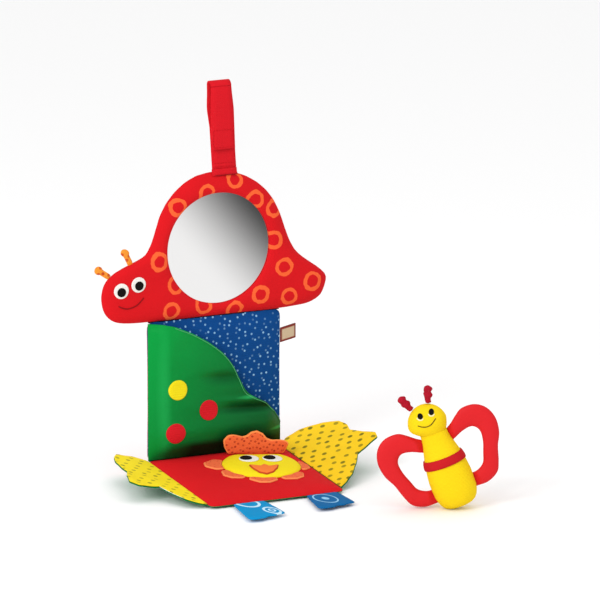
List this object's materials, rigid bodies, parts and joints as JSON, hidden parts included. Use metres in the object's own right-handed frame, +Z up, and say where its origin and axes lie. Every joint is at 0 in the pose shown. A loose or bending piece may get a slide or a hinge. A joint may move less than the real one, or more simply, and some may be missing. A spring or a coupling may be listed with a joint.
{
  "type": "crib mirror",
  "caption": "Hanging cloth activity toy: strap loop, round mirror in a crawling creature, pocketed garden panel, chick floor flap and a loose butterfly rattle.",
  "frame": {"origin": "inside top of the strap loop, where a rail bears on it", "axes": "+Z up, -Y out of the front of the mirror, +X to the right as seen from the front"},
  "size_m": [0.325, 0.2846, 0.4058],
  "materials": {
    "red_cotton": "woven cotton, red",
    "blue_cotton": "woven cotton, blue with small pale dots",
    "green_satin": "satin, green",
    "green_cotton": "woven cotton, green",
    "yellow_cotton": "woven cotton, yellow",
    "yellow_plush": "short plush, yellow",
    "yellow_felt": "felt, yellow",
    "red_felt": "felt, red",
    "orange_cotton": "woven cotton, orange with small dark dots",
    "white_felt": "felt, white",
    "black_felt": "felt, black",
    "wadding": "polyester wadding",
    "mirror": "mirrored acrylic sheet",
    "board": "stiff greyboard",
    "hook_tape": "hook and loop tape, red",
    "label_tape": "woven tape, beige with brown-red edges",
    "film": "crinkle film",
    "turquoise_cotton": "woven cotton, turquoise",
    "deep_blue_cotton": "woven cotton, blue",
    "red_rubber": "soft moulded ring, matt red",
    "red_cord": "knotted cord, red",
    "capsule": "moulded, off-white"
  },
  "bodies": {
    "strap": {"strap_band": "red_cotton", "loop_patch": "hook_tape"},
    "strap_end": {"strap_end": "red_cotton", "hook_patch": "hook_tape"},
    "mirror_panel": {"mirror_front_cover": "red_cotton", "mirror_back_cover": "red_cotton", "mirror_wadding": "wadding", "mirror_disc": "mirror", "mirror_board": "board", "creature_left_eye": "white_felt", "creature_left_pupil": "black_felt", "creature_right_eye": "white_felt", "creature_right_pupil": "black_felt"},
    "creature_left_antenna": {"creature_left_antenna": "orange_cotton"},
    "creature_right_antenna": {"creature_right_antenna": "orange_cotton"},
    "garden_panel": {"garden_front_cover": "blue_cotton", "garden_back_cover": "red_cotton", "garden_wadding": "wadding", "hill_pocket": "green_satin", "yellow_dot": "yellow_felt", "upper_red_dot": "red_felt", "lower_red_dot": "red_felt"},
    "side_label": {"side_label": "label_tape"},
    "floor_flap": {"flap_top_cover": "red_cotton", "flap_underside": "green_cotton", "flap_wadding": "wadding", "chick_face": "yellow_cotton", "chick_beak": "orange_cotton", "chick_left_eye": "white_felt", "chick_left_pupil": "black_felt", "chick_right_eye": "white_felt", "chick_right_pupil": "black_felt", "chick_feather_1": "orange_cotton", "chick_feather_2": "orange_cotton", "chick_feather_3": "orange_cotton", "chick_feather_4": "orange_cotton", "chick_feather_5": "orange_cotton"},
    "chick_comb": {"chick_comb": "orange_cotton"},
    "left_wing": {"left_wing_top": "yellow_cotton", "left_wing_film": "film", "left_wing_underside": "green_cotton"},
    "right_wing": {"right_wing_top": "yellow_cotton", "right_wing_film": "film", "right_wing_underside": "green_cotton"},
    "left_foot": {"left_foot": "turquoise_cotton"},
    "right_foot": {"right_foot": "deep_blue_cotton"},
    "butterfly": {"butterfly_body": "yellow_plush", "butterfly_stuffing": "wadding", "rattle_capsule": "capsule", "butterfly_belt": "red_cotton", "butterfly_head": "yellow_plush", "butterfly_left_eye": "black_felt", "butterfly_right_eye": "black_felt"},
    "butterfly_left_wing": {"butterfly_left_wing": "red_rubber"},
    "butterfly_right_wing": {"butterfly_right_wing": "red_rubber"},
    "butterfly_left_antenna": {"butterfly_left_antenna": "red_cord"},
    "butterfly_right_antenna": {"butterfly_right_antenna": "red_cord"}
  },
  "joints": [
    {"name": "strap_peel", "type": "hinge", "parent": "strap", "child": "strap_end", "pos_m": [0.00025, -0.0048, -0.004], "axis": [-1, 0, 0], "range_deg": [0, 95]},
    {"name": "mirror_swing", "type": "hinge", "parent": "strap", "child": "mirror_panel", "pos_m": [0.0058, 0, -0.092], "axis": [1, 0, 0], "range_deg": [-15, 60]},
    {"name": "left_antenna_bend", "type": "hinge", "parent": "mirror_panel", "child": "creature_left_antenna", "pos_m": [-0.12426, 0, -0.19101], "axis": [0.5716, 0, 0.8205], "range_deg": [-60, 60]},
    {"name": "right_antenna_bend", "type": "hinge", "parent": "mirror_panel", "child": "creature_right_antenna", "pos_m": [-0.09979, 0, -0.18049], "axis": [0.9618, 0, 0.2738], "range_deg": [-60, 60]},
    {"name": "garden_fold", "type": "hinge", "parent": "mirror_panel", "child": "garden_panel", "pos_m": [-0.0066, 0, -0.2423], "axis": [-1, 0, 0], "range_deg": [-88, 45]},
    {"name": "label_bend", "type": "hinge", "parent": "garden_panel", "child": "side_label", "pos_m": [0.06813, 0, -0.2711], "axis": [0, 0, 1], "range_deg": [-60, 60]},
    {"name": "flap_fold", "type": "hinge", "parent": "garden_panel", "child": "floor_flap", "pos_m": [-0.0066, 0, -0.3882], "axis": [-1, 0, 0], "range_deg": [-85, 10]},
    {"name": "comb_bend", "type": "hinge", "parent": "floor_flap", "child": "chick_comb", "pos_m": [0.02818, -0.02639, -0.386], "axis": [0.9563, -0.2912, -0.0265], "range_deg": [-25, 28]},
    {"name": "left_wing_fold", "type": "hinge", "parent": "floor_flap", "child": "left_wing", "pos_m": [-0.0816, 0, -0.3882], "axis": [0, 0.9959, 0.0906], "range_deg": [-30, 60]},
    {"name": "right_wing_fold", "type": "hinge", "parent": "floor_flap", "child": "right_wing", "pos_m": [0.0684, 0, -0.3882], "axis": [0, -0.9959, -0.0906], "range_deg": [-40, 50]},
    {"name": "left_foot_fold", "type": "hinge", "parent": "floor_flap", "child": "left_foot", "pos_m": [-0.0401, -0.15028, -0.40188], "axis": [-1, 0, 0], "range_deg": [-20, 85]},
    {"name": "right_foot_fold", "type": "hinge", "parent": "floor_flap", "child": "right_foot", "pos_m": [0.0419, -0.15028, -0.40188], "axis": [-1, 0, 0], "range_deg": [-20, 85]},
    {"name": "butterfly_lift", "type": "slide", "parent": "strap", "child": "butterfly", "axis": [0, 0, 1], "range_m": [0, 0.2]},
    {"name": "butterfly_left_wing_bend", "type": "hinge", "parent": "butterfly", "child": "butterfly_left_wing", "pos_m": [0.1234, -0.24205, -0.38988], "axis": [-0.1961, 0.0956, 0.9759], "range_deg": [-20, 20]},
    {"name": "butterfly_right_wing_bend", "type": "hinge", "parent": "butterfly", "child": "butterfly_right_wing", "pos_m": [0.15924, -0.25953, -0.3749], "axis": [-0.4302, 0.2098, 0.878], "range_deg": [-20, 20]},
    {"name": "butterfly_left_antenna_bend", "type": "hinge", "parent": "butterfly", "child": "butterfly_left_antenna", "pos_m": [0.10338, -0.23229, -0.30408], "axis": [0.4384, 0.8988, 0], "range_deg": [-30, 30]},
    {"name": "butterfly_right_antenna_bend", "type": "hinge", "parent": "butterfly", "child": "butterfly_right_antenna", "pos_m": [0.11748, -0.23916, -0.29699], "axis": [0.4384, 0.8988, 0], "range_deg": [-30, 30]}
  ]
}
